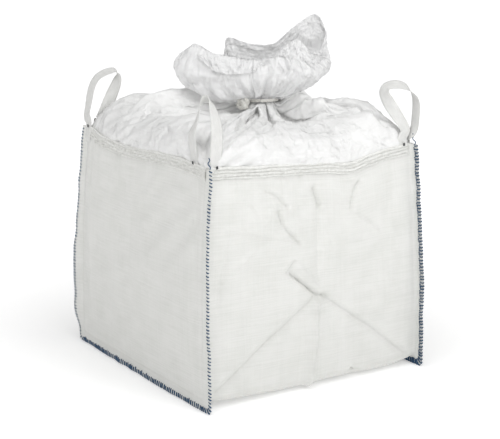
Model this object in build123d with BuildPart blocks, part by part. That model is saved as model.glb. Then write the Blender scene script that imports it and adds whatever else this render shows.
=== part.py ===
"""Bulk bag with four corner lifting loops and a gathered, tied top.

The frame has +Z up, -Y at the front wall and the origin on the floor under the middle of the base.
The front wall, the base and the back wall are one folded panel. A flat side panel closes each end
of it. The two are sewn together along a fin that stands out from the fold in the side panel's own
plane and is bound with thread, so the bag stands on the lower edges of its two fins.
All sizes are in mm.
"""

import os

from build123d import *

# Driving dimensions of the sewn body
WIDTH = 950
DEPTH = 950
WALL_HEIGHT = 860
FABRIC = 2
FOLD_RADIUS = 25

# Seam fins
SEAM_ALLOWANCE = 35
FIN_RADIUS = 14
THREAD = 1
BINDING_REACH = 12
SEAM_STITCH_OFFSET = 8
STITCH_WIDTH = 2
BASE_HEIGHT = SEAM_ALLOWANCE + THREAD

# Rim
TAPE_HEIGHT = 40
TAPE_THICKNESS = 1.5
TAPE_END_GAP = 1
STITCH_ROW_DEPTHS = (8, 20, 32)
SKIRT_DROP = 40
RIM_GAP = 2

# Lifting loops, each from one wall to the next across a corner
WEBBING_WIDTH = 50
WEBBING_THICKNESS = 2.5
LOOP_LENGTH = 226
LOOP_AXIS_HEIGHT = 874
LOOP_CLEARANCE = 1
FRONT_LEG_OFFSET = 35
SIDE_LEG_OFFSET = 110
SEWN_END_LENGTH = 220
SEWN_END_TOP = 870
TACK_WIDTH = 8
TACK_HEIGHT = 9
TACK_THICKNESS = 1.5

# Neck of the gathered top, and the cord that ties it
NECK_X = 49
NECK_Y = -32
NECK_RADIUS = 62
NECK_BASE = 986
NECK_TOP = 1018
TIE_RADIUS = 4
TIE_TURN_HEIGHTS = (1002, 1010.5)
TIE_CLEARANCE = 0.6
KNOT_RADIUS = 18
KNOT_ANGLE = 187

# Gathered top, as (centre x, centre y, half width, half depth, corner radius, height) of each level
SKIRT_FABRIC = 3
WALL_TO_SKIRT = FABRIC + WEBBING_THICKNESS
SKIRT_LEVELS = (
    (0, 0, WIDTH / 2 - WALL_TO_SKIRT, DEPTH / 2 - WALL_TO_SKIRT, 28, WALL_HEIGHT - SKIRT_DROP),
    (0, 0, WIDTH / 2 - WALL_TO_SKIRT, DEPTH / 2 - WALL_TO_SKIRT, 28, WALL_HEIGHT - RIM_GAP),
    (10, -5, 350, 360, 130, 932),
    (30, -20, 215, 225, 140, 966),
    (NECK_X, NECK_Y, NECK_RADIUS, NECK_RADIUS, NECK_RADIUS - 1, NECK_BASE),
    (NECK_X, NECK_Y, NECK_RADIUS, NECK_RADIUS, NECK_RADIUS - 1, NECK_TOP),
)

# Loose end above the tie, an oval funnel that leans along its long axis
FLARE_FABRIC = 4
FLARE_TURN = -33
FLARE_STEM_RADIUS = 16
FLARE_STEM_HEIGHT = 1023
FLARE_BASE_RADIUS = 58
FLARE_BASE_HEIGHT = 1043
FLARE_WAIST = (165, 100)
FLARE_WAIST_HEIGHT = 1095
FLARE_MOUTH = (285, 140)
FLARE_MOUTH_HEIGHT = 1195
FLARE_MOUTH_SHIFT = -40
FLARE_LEAN = 15
HEM_HEIGHT = 35
HEM_THICKNESS = 2

os.makedirs("parts", exist_ok=True)


def save(piece, name):
    """Labels a finished piece and writes its STEP file."""
    piece.part.label = name
    export_step(piece.part, f"parts/{name}.step")


def fold_area(offset, radius, mode=Mode.ADD):
    """The area inside the fold, seen along X, grown by that offset below and at both sides."""
    half = DEPTH / 2 + offset
    bottom = BASE_HEIGHT - offset
    with BuildLine() as outline:
        FilletPolyline(
            (-half, WALL_HEIGHT),
            (-half, bottom),
            (half, bottom),
            (half, WALL_HEIGHT),
            radius=radius,
        )
        Line((half, WALL_HEIGHT), (-half, WALL_HEIGHT))
    make_face(outline.edges(), mode=mode)


def fin_strip(outer, inner):
    """A strip of the seam fin, between two offsets outwards from the fold."""
    fold_area(outer, FIN_RADIUS)
    fold_area(inner, FIN_RADIUS, Mode.SUBTRACT)


# Front wall, base and back wall, folded from one length, with its edges turned out into the fins
with BuildPart() as folded_panel:
    with BuildSketch(Plane.YZ.offset(FABRIC - WIDTH / 2)):
        fold_area(0, FOLD_RADIUS)
        fold_area(-FABRIC, FOLD_RADIUS - FABRIC, Mode.SUBTRACT)
    extrude(amount=WIDTH - 2 * FABRIC)
    for side in (-1, 1):
        with BuildSketch(Plane.YZ.offset(side * (WIDTH / 2 - FABRIC))):
            fold_area(SEAM_ALLOWANCE, FIN_RADIUS)
            fold_area(-FABRIC, FOLD_RADIUS - FABRIC, Mode.SUBTRACT)
        extrude(amount=-side * FABRIC)
save(folded_panel, "folded_panel")

for side, name in ((-1, "left"), (1, "right")):
    # Flat side wall that reaches out to the edge of its fin
    with BuildPart() as side_panel:
        with BuildSketch(Plane.YZ.offset(side * WIDTH / 2)):
            fold_area(SEAM_ALLOWANCE, FIN_RADIUS)
        extrude(amount=-side * FABRIC)
    save(side_panel, f"side_panel_{name}")

    # Overlock thread that binds both layers along the raw edge of the fin
    with BuildPart() as seam_binding:
        with BuildSketch(Plane.YZ.offset(side * (WIDTH / 2 + THREAD))):
            fin_strip(SEAM_ALLOWANCE + THREAD, SEAM_ALLOWANCE)
        extrude(amount=-side * 2 * (FABRIC + THREAD))
        for thread_face in (WIDTH / 2 + THREAD, WIDTH / 2 - 2 * FABRIC):
            with BuildSketch(Plane.YZ.offset(side * thread_face)):
                fin_strip(SEAM_ALLOWANCE, SEAM_ALLOWANCE - BINDING_REACH)
            extrude(amount=-side * THREAD)
    save(seam_binding, f"seam_binding_{name}")

    # Stitch line that closes the seam beside the fold
    with BuildPart() as seam_stitches:
        with BuildSketch(Plane.YZ.offset(side * WIDTH / 2)):
            fin_strip(SEAM_STITCH_OFFSET, SEAM_STITCH_OFFSET - STITCH_WIDTH)
        extrude(amount=side * THREAD)
    save(seam_stitches, f"seam_stitches_{name}")

# Rim tape along the top of each wall, and the rows of chain stitch on it
FRONT_TAPE = WIDTH - 4 * FABRIC - 2 * TAPE_END_GAP
SIDE_TAPE = DEPTH + 2 * (SEAM_STITCH_OFFSET - STITCH_WIDTH - TAPE_END_GAP)
RIMS = (
    ("front", (0, -DEPTH / 2, WALL_HEIGHT), (1, 0, 0), (0, -1, 0), FRONT_TAPE),
    ("back", (0, DEPTH / 2, WALL_HEIGHT), (-1, 0, 0), (0, 1, 0), FRONT_TAPE),
    ("left", (-WIDTH / 2, 0, WALL_HEIGHT), (0, -1, 0), (-1, 0, 0), SIDE_TAPE),
    ("right", (WIDTH / 2, 0, WALL_HEIGHT), (0, 1, 0), (1, 0, 0), SIDE_TAPE),
)

for name, rim_middle, along_rim, outwards, length in RIMS:
    wall = Plane(rim_middle, x_dir=along_rim, z_dir=outwards)

    with BuildPart() as rim_tape:
        with BuildSketch(wall):
            Rectangle(length, TAPE_HEIGHT, align=(Align.CENTER, Align.MAX))
        extrude(amount=TAPE_THICKNESS)
    save(rim_tape, f"rim_tape_{name}")

    with BuildPart() as rim_stitches:
        with BuildSketch(wall.offset(TAPE_THICKNESS)):
            for depth in STITCH_ROW_DEPTHS:
                with Locations((0, -depth)):
                    Rectangle(length, STITCH_WIDTH)
        extrude(amount=THREAD)
    save(rim_stitches, f"rim_stitches_{name}")

# Lifting loops, one at each corner, with each foot over the webbing inside its wall, as
# (name, side in x, side in y, lean inwards in degrees)
CORNERS = (
    ("front_left", -1, -1, 4),
    ("front_right", 1, -1, 17),
    ("back_left", -1, 1, 26),
    ("back_right", 1, 1, 12),
)
WEBBING_MIDDLE = FABRIC + WEBBING_THICKNESS / 2

for name, x_side, y_side, lean in CORNERS:
    front_foot = Vector(
        x_side * (WIDTH / 2 - FRONT_LEG_OFFSET),
        y_side * (DEPTH / 2 - WEBBING_MIDDLE),
        LOOP_AXIS_HEIGHT,
    )
    side_foot = Vector(
        x_side * (WIDTH / 2 - WEBBING_MIDDLE),
        y_side * (DEPTH / 2 - SIDE_LEG_OFFSET),
        LOOP_AXIS_HEIGHT,
    )
    between_feet = side_foot - front_foot
    upright = Vector(0, 0, 1).rotate(Axis((0, 0, 0), between_feet), x_side * y_side * lean)
    arch_plane = Plane(
        (front_foot + side_foot) / 2,
        x_dir=between_feet,
        z_dir=between_feet.cross(upright),
    )
    outer_radius = (between_feet.length + WEBBING_WIDTH) / 2
    inner_radius = outer_radius - WEBBING_WIDTH
    leg_top = LOOP_LENGTH - outer_radius

    # Arch of webbing that swings about the line through its feet
    with BuildPart() as loop:
        with BuildSketch(arch_plane):
            for radius, mode in ((outer_radius, Mode.ADD), (inner_radius, Mode.SUBTRACT)):
                with Locations((0, leg_top)):
                    Circle(radius, mode=mode)
                Rectangle(2 * radius, leg_top, align=(Align.CENTER, Align.MIN), mode=mode)
            Rectangle(
                2 * outer_radius,
                LOOP_CLEARANCE,
                align=(Align.CENTER, Align.MIN),
                mode=Mode.SUBTRACT,
            )
        extrude(amount=WEBBING_THICKNESS / 2, both=True)
    save(loop, f"loop_{name}")

    # The same webbing's two ends, sewn down inside the walls and tacked where they pass the rim
    front_end = Plane(
        (front_foot.X, y_side * (DEPTH / 2 - FABRIC), SEWN_END_TOP),
        x_dir=(1, 0, 0),
        z_dir=(0, -1, 0),
    )
    side_end = Plane(
        (x_side * (WIDTH / 2 - FABRIC), side_foot.Y, SEWN_END_TOP),
        x_dir=(0, 1, 0),
        z_dir=(1, 0, 0),
    )
    inwards = ((front_end, y_side), (side_end, -x_side))

    with BuildPart() as loop_ends:
        for end_plane, inward in inwards:
            with BuildSketch(end_plane):
                Rectangle(WEBBING_WIDTH, SEWN_END_LENGTH, align=(Align.CENTER, Align.MAX))
            extrude(amount=inward * WEBBING_THICKNESS)
    save(loop_ends, f"loop_ends_{name}")

    with BuildPart() as bar_tacks:
        for end_plane, inward in inwards:
            with BuildSketch(end_plane):
                Rectangle(TACK_WIDTH, TACK_HEIGHT, align=(Align.CENTER, Align.MAX))
            extrude(amount=-inward * TACK_THICKNESS)
    save(bar_tacks, f"bar_tacks_{name}")

# Gathered top, a hollow dome from the rim to the neck
with BuildPart() as skirt:
    for inset, mode in ((0, Mode.ADD), (SKIRT_FABRIC, Mode.SUBTRACT)):
        for x, y, half_width, half_depth, corner, height in SKIRT_LEVELS:
            with BuildSketch(Plane((x, y, height))):
                RectangleRounded(
                    2 * (half_width - inset),
                    2 * (half_depth - inset),
                    corner - inset,
                )
        loft(ruled=True, mode=mode)
save(skirt, "skirt")

# Cord wound twice round the neck, and its knot
TIE_TURN_RADIUS = NECK_RADIUS + TIE_RADIUS + TIE_CLEARANCE

with BuildPart() as neck_tie:
    with Locations([(NECK_X, NECK_Y, height) for height in TIE_TURN_HEIGHTS]):
        Torus(TIE_TURN_RADIUS, TIE_RADIUS)
save(neck_tie, "neck_tie")

with BuildPart() as tie_knot:
    with Locations((NECK_X, NECK_Y, sum(TIE_TURN_HEIGHTS) / 2)):
        with PolarLocations(TIE_TURN_RADIUS + TIE_RADIUS + KNOT_RADIUS, 1, KNOT_ANGLE):
            Sphere(KNOT_RADIUS)
save(tie_knot, "tie_knot")

# Loose end above the tie, a funnel with a solid stem where the cloth is bunched
long_axis = Vector(1, 0, 0).rotate(Axis.Z, FLARE_TURN)
mouth_x_dir = Vector(1, 0, 0).rotate(Axis.Y, -FLARE_LEAN).rotate(Axis.Z, FLARE_TURN)
mouth_z_dir = Vector(0, 0, 1).rotate(Axis.Y, -FLARE_LEAN).rotate(Axis.Z, FLARE_TURN)
neck = Vector(NECK_X, NECK_Y, 0)
mouth_plane = Plane(
    neck + long_axis * FLARE_MOUTH_SHIFT + Vector(0, 0, FLARE_MOUTH_HEIGHT),
    x_dir=mouth_x_dir,
    z_dir=mouth_z_dir,
)


def level_plane(height):
    """A level plane on the neck's axis, turned to the funnel's long axis."""
    return Plane(neck + Vector(0, 0, height), x_dir=long_axis, z_dir=(0, 0, 1))


with BuildPart() as duffle_end:
    with BuildSketch(level_plane(FLARE_STEM_HEIGHT)):
        Circle(FLARE_STEM_RADIUS)
    with BuildSketch(level_plane(FLARE_BASE_HEIGHT)):
        Circle(FLARE_BASE_RADIUS)
    loft()
    for inset, mode in ((0, Mode.ADD), (FLARE_FABRIC, Mode.SUBTRACT)):
        with BuildSketch(level_plane(FLARE_BASE_HEIGHT)):
            Circle(FLARE_BASE_RADIUS - inset)
        with BuildSketch(level_plane(FLARE_WAIST_HEIGHT)):
            Ellipse(FLARE_WAIST[0] - inset, FLARE_WAIST[1] - inset)
        with BuildSketch(mouth_plane):
            Ellipse(FLARE_MOUTH[0] - inset, FLARE_MOUTH[1] - inset)
        loft(mode=mode)
save(duffle_end, "duffle_end")

# Hem turned back round the mouth
with BuildPart() as duffle_hem:
    with BuildSketch(mouth_plane):
        Ellipse(FLARE_MOUTH[0] + HEM_THICKNESS, FLARE_MOUTH[1] + HEM_THICKNESS)
        Ellipse(FLARE_MOUTH[0] - FLARE_FABRIC, FLARE_MOUTH[1] - FLARE_FABRIC, mode=Mode.SUBTRACT)
    extrude(amount=HEM_HEIGHT)
save(duffle_hem, "duffle_hem")
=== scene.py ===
"""Looks of the bulk bag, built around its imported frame.

Metres throughout. +Z is up, -Y is the front wall and the origin is on the floor under the base.
Every sewn piece is laid out on the straight box of the design and then passed through settle(),
which tapers, bulges and sags them all alike, so that seams, tapes and threads stay together.
The gathered top is a tube of cloth that is drawn in at its tie by a small cloth solver.
"""

import math

import bpy
import numpy as np
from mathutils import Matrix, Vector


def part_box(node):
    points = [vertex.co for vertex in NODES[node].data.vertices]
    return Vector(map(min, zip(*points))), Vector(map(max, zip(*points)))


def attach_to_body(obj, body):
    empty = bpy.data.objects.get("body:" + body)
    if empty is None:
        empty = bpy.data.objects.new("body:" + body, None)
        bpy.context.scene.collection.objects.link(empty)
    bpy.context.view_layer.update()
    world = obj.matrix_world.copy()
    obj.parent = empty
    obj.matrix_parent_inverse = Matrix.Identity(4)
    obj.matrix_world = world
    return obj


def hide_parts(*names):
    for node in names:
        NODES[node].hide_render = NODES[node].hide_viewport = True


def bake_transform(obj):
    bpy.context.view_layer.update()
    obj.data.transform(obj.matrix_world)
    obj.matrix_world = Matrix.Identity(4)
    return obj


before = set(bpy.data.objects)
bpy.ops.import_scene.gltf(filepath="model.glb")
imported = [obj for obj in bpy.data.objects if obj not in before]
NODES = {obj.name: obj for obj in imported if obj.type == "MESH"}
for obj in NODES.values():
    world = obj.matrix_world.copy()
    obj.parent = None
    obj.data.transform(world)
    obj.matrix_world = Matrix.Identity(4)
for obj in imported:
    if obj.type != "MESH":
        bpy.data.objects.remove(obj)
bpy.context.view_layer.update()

# ---------------------------------------------------------------- sizes from the frame
SEAM = 0.035
FOLD_RADIUS = 0.025
HALF_X = -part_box("side_panel_left")[0].x
HALF_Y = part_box("side_panel_left")[1].y - SEAM
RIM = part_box("side_panel_left")[1].z
BASE = SEAM + 0.001
BODY_FABRIC = 0.0012
TAPE_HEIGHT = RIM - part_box("rim_tape_front")[0].z
TIE_LOW, TIE_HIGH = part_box("neck_tie")
NECK = np.array([(TIE_LOW.x + TIE_HIGH.x) / 2, (TIE_LOW.y + TIE_HIGH.y) / 2])
TIE_Z = (TIE_LOW.z + TIE_HIGH.z) / 2
TIE_RADIUS = 0.004
KNOT_LOW, KNOT_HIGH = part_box("tie_knot")


# ---------------------------------------------------------------- small tools
def smoothstep(low, high, x):
    t = np.clip((x - low) / (high - low), 0, 1)
    return t * t * (3 - 2 * t)


def lattice_noise(x, y, cell, seed, period=64):
    """Smooth noise from -1 to 1 whose bumps are about one cell wide, and repeat along x after a period of cells."""
    grid = np.random.default_rng(seed).uniform(-1, 1, (period, 64))
    gx, gy = np.asarray(x) / cell, np.asarray(y) / cell
    ix, iy = np.floor(gx).astype(int), np.floor(gy).astype(int)
    fx, fy = gx - ix, gy - iy
    fx, fy = fx * fx * (3 - 2 * fx), fy * fy * (3 - 2 * fy)
    ix, next_x, iy, next_y = ix % period, (ix + 1) % period, iy % 64, (iy + 1) % 64
    near, far, near_up, far_up = grid[ix, iy], grid[next_x, iy], grid[ix, next_y], grid[next_x, next_y]
    return (near * (1 - fx) + far * fx) * (1 - fy) + (near_up * (1 - fx) + far_up * fx) * fy


def fractal(x, y, cell, seed, octaves=3):
    """Noise with finer and fainter noise on it."""
    layers = (lattice_noise(x, y, cell / 2**k, seed + k) / 2**k for k in range(octaves))
    return sum(layers)


def crumple(x, y, cell, seed, octaves=3, period=64):
    """Flat facets that meet in sharp lines, as handled cloth has, from 0 to about 1."""
    layers = (abs(lattice_noise(x, y, cell / 2**k, seed + k, period * 2**k)) / 2**k for k in range(octaves))
    return sum(layers)


def crease(x, y, start, end, depth, width, fade=0.25):
    """A fold line from start to end: a ridge where depth is positive, a valley where negative."""
    (ax, ay), (bx, by) = start, end
    length = math.hypot(bx - ax, by - ay)
    along = ((x - ax) * (bx - ax) + (y - ay) * (by - ay)) / length**2
    nearest = np.clip(along, 0, 1)
    distance = np.hypot(x - ax - nearest * (bx - ax), y - ay - nearest * (by - ay))
    ends = smoothstep(-fade, fade, along) * smoothstep(1 + fade, 1 - fade, along)
    return depth * ends * np.exp(-distance / width)


def through(points, x):
    """A smooth curve through a few (x, value) points."""
    xs, values = zip(*points)
    fine = np.linspace(xs[0], xs[-1], 201)
    line = np.interp(fine, xs, values)
    kernel = np.hanning(31) / np.hanning(31).sum()
    line = np.convolve(np.pad(line, 15, mode="edge"), kernel, mode="valid")
    return np.interp(x, fine, line)


def spline(points, count):
    """Catmull-Rom curve through 3-D points, as count points."""
    p = np.array(points, float)
    p = np.vstack([2 * p[0] - p[1], p, 2 * p[-1] - p[-2]])
    t = np.linspace(0, len(p) - 3 - 1e-9, count)
    i = t.astype(int)
    f = (t - i)[:, None]
    a, b, c, d = p[i], p[i + 1], p[i + 2], p[i + 3]
    return 0.5 * (2 * b + (c - a) * f + (2 * a - 5 * b + 4 * c - d) * f**2
                  + (3 * b - a - 3 * c + d) * f**3)


def unit(v):
    return v / np.maximum(np.linalg.norm(v, axis=-1, keepdims=True), 1e-12)


# ---------------------------------------------------------------- how the full bag stands
RIM_FRONT = ((-0.475, 0.850), (-0.20, 0.838), (0.08, 0.822), (0.17, 0.806), (0.27, 0.832),
             (0.37, 0.848), (0.475, 0.858))
RIM_LEFT = ((-0.475, 0.850), (-0.28, 0.862), (-0.12, 0.860), (0.11, 0.848), (0.33, 0.860),
            (0.475, 0.884))
RIM_RIGHT = ((-0.475, 0.858), (-0.15, 0.838), (0.12, 0.846), (0.475, 0.866))
RIM_BACK = ((-0.475, 0.884), (-0.20, 0.848), (0.10, 0.838), (0.30, 0.846), (0.475, 0.866))
TAPER_X, TAPER_Y = 0.065, 0.0685
CORNER_BULGE = 0.012
FRONT_BULGE = 0.004
BASE_SAG = 0.021


def rim_height(x, y):
    on_side = abs(x) / HALF_X > abs(y) / HALF_Y
    side = np.where(x < 0, through(RIM_LEFT, y), through(RIM_RIGHT, y))
    wall = np.where(y < 0, through(RIM_FRONT, x), through(RIM_BACK, x))
    return np.where(on_side, side, wall)


def settle(x, y, z):
    """Moves points of the straight box to where the filled-out, tapering bag has them."""
    x, y, z = np.broadcast_arrays(*(np.asarray(v, float) for v in (x, y, z)))
    t = z / RIM
    swell = np.sin(np.pi * np.clip(t, 0, 1))
    y_bulge = FRONT_BULGE + (CORNER_BULGE - FRONT_BULGE) * smoothstep(-0.3, 0.3, y)
    new_x = x * (1 - TAPER_X * t + CORNER_BULGE / HALF_X * swell)
    new_y = y * (1 - TAPER_Y * t + y_bulge / HALF_Y * swell)
    lift = (rim_height(x, y) - RIM) * smoothstep(0.45 * RIM, RIM, z)
    middle = 1 - np.clip(abs(x) / (HALF_X - 0.002), 0, 1) ** 8
    sag = BASE_SAG * middle * smoothstep(0.20, 0.02, z)
    return np.stack([new_x, new_y, z + lift - sag], -1)


def outside_fold(y, z):
    """Distance of (y, z) outside the fold of the front, base and back, negative inside it."""
    dy, dz = abs(y) - HALF_Y + FOLD_RADIUS, BASE + FOLD_RADIUS - z
    corner = np.hypot(np.maximum(dy, 0), np.maximum(dz, 0))
    return corner + np.minimum(np.maximum(dy, dz), 0) - FOLD_RADIUS


WALL_RUN = RIM - BASE - FOLD_RADIUS
TURN_RUN = 0.104
BASE_RUN = 2 * (HALF_Y - FOLD_RADIUS)
FIN_RUN = 2 * WALL_RUN + 2 * TURN_RUN + BASE_RUN
FIN_SQUARENESS = 7


def fin_curve(run, offset):
    """(y, z) at this run from the front rim, down, under and up the back, this far outside the fold."""
    first = np.clip(run, 0, WALL_RUN)
    turn_1 = np.clip(run - WALL_RUN, 0, TURN_RUN)
    base = np.clip(run - WALL_RUN - TURN_RUN, 0, BASE_RUN)
    turn_2 = np.clip(run - WALL_RUN - TURN_RUN - BASE_RUN, 0, TURN_RUN)
    last = np.clip(run - WALL_RUN - 2 * TURN_RUN - BASE_RUN, 0, WALL_RUN + 1)
    angle = (turn_1 + turn_2) / TURN_RUN * np.pi / 2
    c, s = np.cos(angle), np.sin(angle)
    squareness = (abs(c) ** FIN_SQUARENESS + abs(s) ** FIN_SQUARENESS) ** (1 / FIN_SQUARENESS)
    outer = (FOLD_RADIUS + SEAM) / squareness
    reach = FOLD_RADIUS + offset / SEAM * (outer - FOLD_RADIUS)
    y = FOLD_RADIUS - HALF_Y + base - reach * c
    z = BASE + FOLD_RADIUS - reach * s + (WALL_RUN - first) + last
    return y, z


def fin_flutter(y, z, side):
    """How far the fin strays from the side panel's plane."""
    out = np.clip(outside_fold(y, z) / SEAM, 0, 1)
    seed = 40 + side
    wave = 0.0065 * lattice_noise(y + 5, z + 5, 0.13, seed) + 0.003 * lattice_noise(y + 5, z + 5, 0.05, seed + 9)
    lean = (0.009 + 0.009 * smoothstep(0.60, 0.42, z)) * smoothstep(0.30, 0.47, y) * smoothstep(0.04, 0.13, z)
    return (wave + lean) * out


# ---------------------------------------------------------------- relief of the walls
FRONT_FOLDS = (
    ((0.0, 0.350), (-0.45, 0.055), -0.0050, 0.011, 0.06),
    ((0.03, 0.343), (0.43, 0.060), -0.0050, 0.011, 0.06),
    ((-0.008, 0.330), (-0.038, 0.015), 0.0085, 0.013, 0.06),
    ((0.005, 0.430), (0.012, 0.690), -0.0030, 0.012, 0.15),
    ((-0.120, 0.448), (-0.005, 0.352), -0.0095, 0.0075, 0.06),
    ((-0.005, 0.352), (0.045, 0.338), -0.0060, 0.0075, 0.2),
    ((-0.139, 0.448), (-0.096, 0.490), -0.0040, 0.006, 0.15),
    ((-0.080, 0.470), (0.010, 0.375), 0.0035, 0.012, 0.3),
    ((-0.176, 0.695), (-0.150, 0.630), -0.0060, 0.008, 0.15),
    ((-0.150, 0.630), (-0.070, 0.552), -0.0055, 0.008, 0.12),
    ((-0.230, 0.773), (-0.178, 0.748), -0.0045, 0.008, 0.2),
    ((-0.178, 0.748), (-0.130, 0.703), -0.0045, 0.008, 0.2),
    ((-0.004, 0.775), (0.028, 0.684), -0.0085, 0.012, 0.12),
    ((0.215, 0.782), (0.185, 0.735), -0.0060, 0.009, 0.15),
    ((0.185, 0.735), (0.166, 0.668), -0.0055, 0.007, 0.15),
    ((0.166, 0.668), (0.285, 0.560), 0.0030, 0.012, 0.2),
    ((-0.400, 0.648), (-0.110, 0.568), 0.0035, 0.012, 0.15),
    ((-0.420, 0.430), (-0.260, 0.560), 0.0030, 0.014, 0.2),
    ((0.030, 0.500), (0.220, 0.600), 0.0028, 0.020, 0.2),
    ((-0.330, 0.760), (-0.230, 0.640), 0.0040, 0.020, 0.2),
    ((-0.380, 0.600), (-0.420, 0.350), -0.0045, 0.030, 0.2),
    ((0.202, 0.020), (0.160, 0.060), -0.0080, 0.010, 0.2),
)


def front_relief(x, z):
    """Fold lines left by the flat packing, which meet in a star, and soft handling wrinkles."""
    edge = 1 - np.clip(abs(x) / HALF_X, 0, 1) ** 6
    bottom = smoothstep(0.03, 0.12, z)
    r = 0.010 * edge * np.sin(np.pi * np.clip(z / RIM, 0, 1))
    r = r + 3.1 * sum(crease(x, z, *fold) for fold in FRONT_FOLDS)
    upper_left = smoothstep(0.05, -0.25, x) * smoothstep(0.45, 0.70, z)
    r = r + (0.0060 + 0.0100 * upper_left) * crumple(x + 3, z + 3, 0.11, 11) * edge * bottom
    r = r + (0.0050 + 0.0060 * upper_left) * fractal(x + 3, z + 3, 0.16, 21) * edge * bottom
    return r


def side_relief(y, z, side):
    """Smooth wall with soft slanting folds towards its upper front corner."""
    inner = smoothstep(0.0, -0.09, outside_fold(y, z))
    r = 0.010 * inner * np.sin(np.pi * np.clip(z / RIM, 0, 1))
    slant = np.sin((y * 0.9 + z * 1.25 + 0.09 * lattice_noise(y + 4, z + 4, 0.2, 31 + side)) * 40)
    upper_front = smoothstep(0.20, -0.25, y) * smoothstep(0.30, 0.60, z) * smoothstep(0.86, 0.74, z)
    r = r + 0.0026 * slant * upper_front * inner
    r = r + 0.0060 * fractal(y + 3, z + 3, 0.24, 33 + side) * inner
    r = r + 0.0028 * crumple(y + 3, z + 3, 0.10, 35 + side) * inner
    seam = outside_fold(y, z)
    r = r - 0.0030 * np.exp(-((seam + 0.008) / 0.006) ** 2)
    r = r - 0.0045 * np.exp(-((seam + 0.050) / 0.030) ** 2) * smoothstep(0.1, 0.3, z)
    r = r + 0.0014 * np.exp(-((seam + 0.030) / 0.014) ** 2)
    pucker = 0.0007 * np.sin((y + z) * 2 * np.pi / 0.019) * np.exp(-((seam + 0.012) / 0.014) ** 2)
    return r + pucker


BACK_FOLDS = (
    ((-0.02, 0.372), (-0.44, 0.058), -0.0045, 0.012, 0.06),
    ((-0.02, 0.372), (0.44, 0.062), -0.0048, 0.012, 0.06),
    ((-0.02, 0.372), (-0.01, 0.020), 0.0055, 0.016, 0.08),
    ((-0.02, 0.42), (-0.01, 0.78), -0.0035, 0.014, 0.1),
    ((0.10, 0.47), (-0.02, 0.372), -0.0070, 0.009, 0.1),
    ((0.24, 0.76), (0.16, 0.62), -0.0060, 0.010, 0.15),
    ((-0.20, 0.77), (-0.24, 0.66), -0.0055, 0.010, 0.15),
    ((-0.36, 0.60), (-0.12, 0.52), 0.0035, 0.014, 0.15),
    ((0.12, 0.55), (0.38, 0.66), 0.0035, 0.016, 0.15),
)


def back_relief(x, z):
    """The back wall has the same star of packing folds, mirrored, and its own soft wrinkles."""
    edge = 1 - np.clip(abs(x) / HALF_X, 0, 1) ** 6
    bottom = smoothstep(0.03, 0.12, z)
    r = 0.010 * edge * np.sin(np.pi * np.clip(z / RIM, 0, 1))
    r = r + 2.2 * sum(crease(x, z, *fold) for fold in BACK_FOLDS)
    r = r + 0.0030 * crumple(x + 7, z + 7, 0.12, 51) * edge * bottom
    return r + 0.0040 * fractal(x + 7, z + 7, 0.22, 54) * edge * bottom


def wall_point(wall, along, z, out=0.0):
    """A point on a wall's outer face, this far outside it, in the settled bag."""
    if wall == "front":
        return settle(along, -(HALF_Y + front_relief(along, z) + out), z)
    if wall == "back":
        return settle(along, HALF_Y + back_relief(along, z) + out, z)
    side = -1 if wall == "left" else 1
    across = HALF_X + side_relief(along, z, side) + fin_flutter(along, z, side) + out
    return settle(side * across, along, z)


# ---------------------------------------------------------------- meshes
def new_object(name, points, faces, uvs=None, material=None, smooth=True):
    """A mesh object, with uvs as one (u, v) in metres of cloth for each point."""
    mesh = bpy.data.meshes.new(name)
    mesh.from_pydata(points.tolist(), [], faces.tolist())
    if uvs is not None:
        layer = mesh.uv_layers.new(name="cloth")
        corners = np.zeros(len(mesh.loops), np.int32)
        mesh.loops.foreach_get("vertex_index", corners)
        layer.data.foreach_set("uv", uvs[corners].astype(np.float32).ravel())
    mesh.polygons.foreach_set("use_smooth", np.full(len(mesh.polygons), smooth))
    mesh.update()
    piece = bpy.data.objects.new(name, mesh)
    bpy.context.scene.collection.objects.link(piece)
    if material:
        mesh.materials.append(material)
    return piece


def grid_faces(rows, columns, closed=False):
    """Quads of a grid of points, which may close on itself across its columns."""
    index = np.arange(rows * columns).reshape(rows, columns)
    right = np.roll(index, -1, axis=1)
    quads = np.stack([index[:-1], right[:-1], right[1:], index[1:]], -1)
    return (quads if closed else quads[:, :-1]).reshape(-1, 4)


def cloth_piece(name, points, uvs, material, thickness, closed=False, flip=False, offset=-1):
    """A sheet of cloth of this thickness over a grid of points."""
    rows, columns = points.shape[:2]
    faces = grid_faces(rows, columns, closed)
    if flip:
        faces = faces[:, ::-1]
    piece = new_object(name, points.reshape(-1, 3), faces, uvs.reshape(-1, 2), material)
    solidify = piece.modifiers.new("thickness", "SOLIDIFY")
    solidify.thickness = thickness
    solidify.offset = offset
    return piece


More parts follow.
